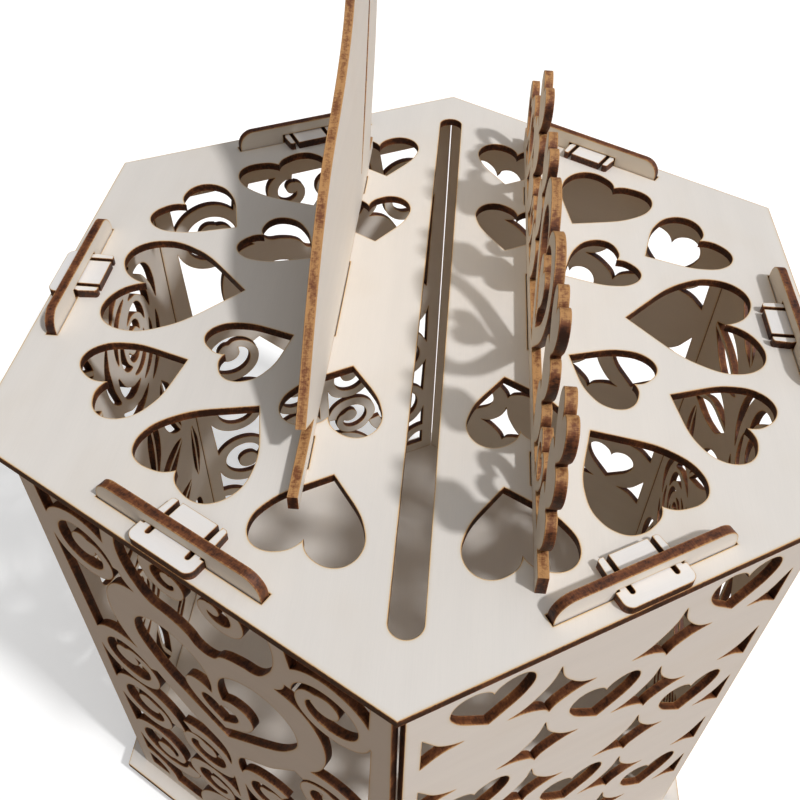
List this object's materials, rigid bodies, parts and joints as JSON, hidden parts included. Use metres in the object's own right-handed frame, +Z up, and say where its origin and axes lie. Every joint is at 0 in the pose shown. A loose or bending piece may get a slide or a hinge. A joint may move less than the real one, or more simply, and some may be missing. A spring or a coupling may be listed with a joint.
{
  "type": "wedding card box",
  "caption": "Hexagonal plywood wedding card box with fretwork sides, a heart-pierced lid with a long card slot, two upright toppers and flat snap keys that lock its tabs.",
  "frame": {"origin": "on the floor under the centre of the lid", "axes": "+Z up, +Y along the card slot towards the back, +X to the right across the flats"},
  "size_m": [0.2598, 0.3, 0.374],
  "materials": {
    "birch_sheet": "unfinished pale plywood with laser-burnt brown cut edges",
    "birch_key": "unfinished, slightly whiter plywood with laser-burnt brown cut edges"
  },
  "bodies": {
    "box": {"lid": "birch_sheet", "base": "birch_sheet", "panel_right_rose": "birch_sheet", "panel_back_right_stars": "birch_sheet", "panel_back_left_scroll": "birch_sheet", "panel_left_rose": "birch_sheet", "panel_front_left_scroll": "birch_sheet", "panel_front_right_stars": "birch_sheet"},
    "key_top_right": {"key_top_right": "birch_key"},
    "key_top_back_right": {"key_top_back_right": "birch_key"},
    "key_top_back_left": {"key_top_back_left": "birch_key"},
    "key_top_left": {"key_top_left": "birch_key"},
    "key_top_front_left": {"key_top_front_left": "birch_key"},
    "key_top_front_right": {"key_top_front_right": "birch_key"},
    "key_bottom_right": {"key_bottom_right": "birch_key"},
    "key_bottom_back_right": {"key_bottom_back_right": "birch_key"},
    "key_bottom_back_left": {"key_bottom_back_left": "birch_key"},
    "key_bottom_left": {"key_bottom_left": "birch_key"},
    "key_bottom_front_left": {"key_bottom_front_left": "birch_key"},
    "key_bottom_front_right": {"key_bottom_front_right": "birch_key"},
    "topper_left": {"topper_left_couple": "birch_sheet"},
    "topper_right": {"topper_right_fretwork": "birch_sheet"}
  },
  "joints": [
    {"name": "key_top_right_pull", "type": "slide", "parent": "box", "child": "key_top_right", "axis": [1, 0, 0], "range_m": [0, 0.016]},
    {"name": "key_top_back_right_pull", "type": "slide", "parent": "box", "child": "key_top_back_right", "axis": [0.5, 0.866, 0], "range_m": [0, 0.016]},
    {"name": "key_top_back_left_pull", "type": "slide", "parent": "box", "child": "key_top_back_left", "axis": [-0.5, 0.866, 0], "range_m": [0, 0.016]},
    {"name": "key_top_left_pull", "type": "slide", "parent": "box", "child": "key_top_left", "axis": [-1, 0, 0], "range_m": [0, 0.016]},
    {"name": "key_top_front_left_pull", "type": "slide", "parent": "box", "child": "key_top_front_left", "axis": [-0.5, -0.866, 0], "range_m": [0, 0.016]},
    {"name": "key_top_front_right_pull", "type": "slide", "parent": "box", "child": "key_top_front_right", "axis": [0.5, -0.866, 0], "range_m": [0, 0.016]},
    {"name": "key_bottom_right_pull", "type": "slide", "parent": "box", "child": "key_bottom_right", "axis": [1, 0, 0], "range_m": [0, 0.016]},
    {"name": "key_bottom_back_right_pull", "type": "slide", "parent": "box", "child": "key_bottom_back_right", "axis": [0.5, 0.866, 0], "range_m": [0, 0.016]},
    {"name": "key_bottom_back_left_pull", "type": "slide", "parent": "box", "child": "key_bottom_back_left", "axis": [-0.5, 0.866, 0], "range_m": [0, 0.016]},
    {"name": "key_bottom_left_pull", "type": "slide", "parent": "box", "child": "key_bottom_left", "axis": [-1, 0, 0], "range_m": [0, 0.016]},
    {"name": "key_bottom_front_left_pull", "type": "slide", "parent": "box", "child": "key_bottom_front_left", "axis": [-0.5, -0.866, 0], "range_m": [0, 0.016]},
    {"name": "key_bottom_front_right_pull", "type": "slide", "parent": "box", "child": "key_bottom_front_right", "axis": [0.5, -0.866, 0], "range_m": [0, 0.016]},
    {"name": "topper_left_lift", "type": "slide", "parent": "box", "child": "topper_left", "axis": [0, 0, 1], "range_m": [0, 0.02]},
    {"name": "topper_right_lift", "type": "slide", "parent": "box", "child": "topper_right", "axis": [0, 0, 1], "range_m": [0, 0.02]}
  ]
}
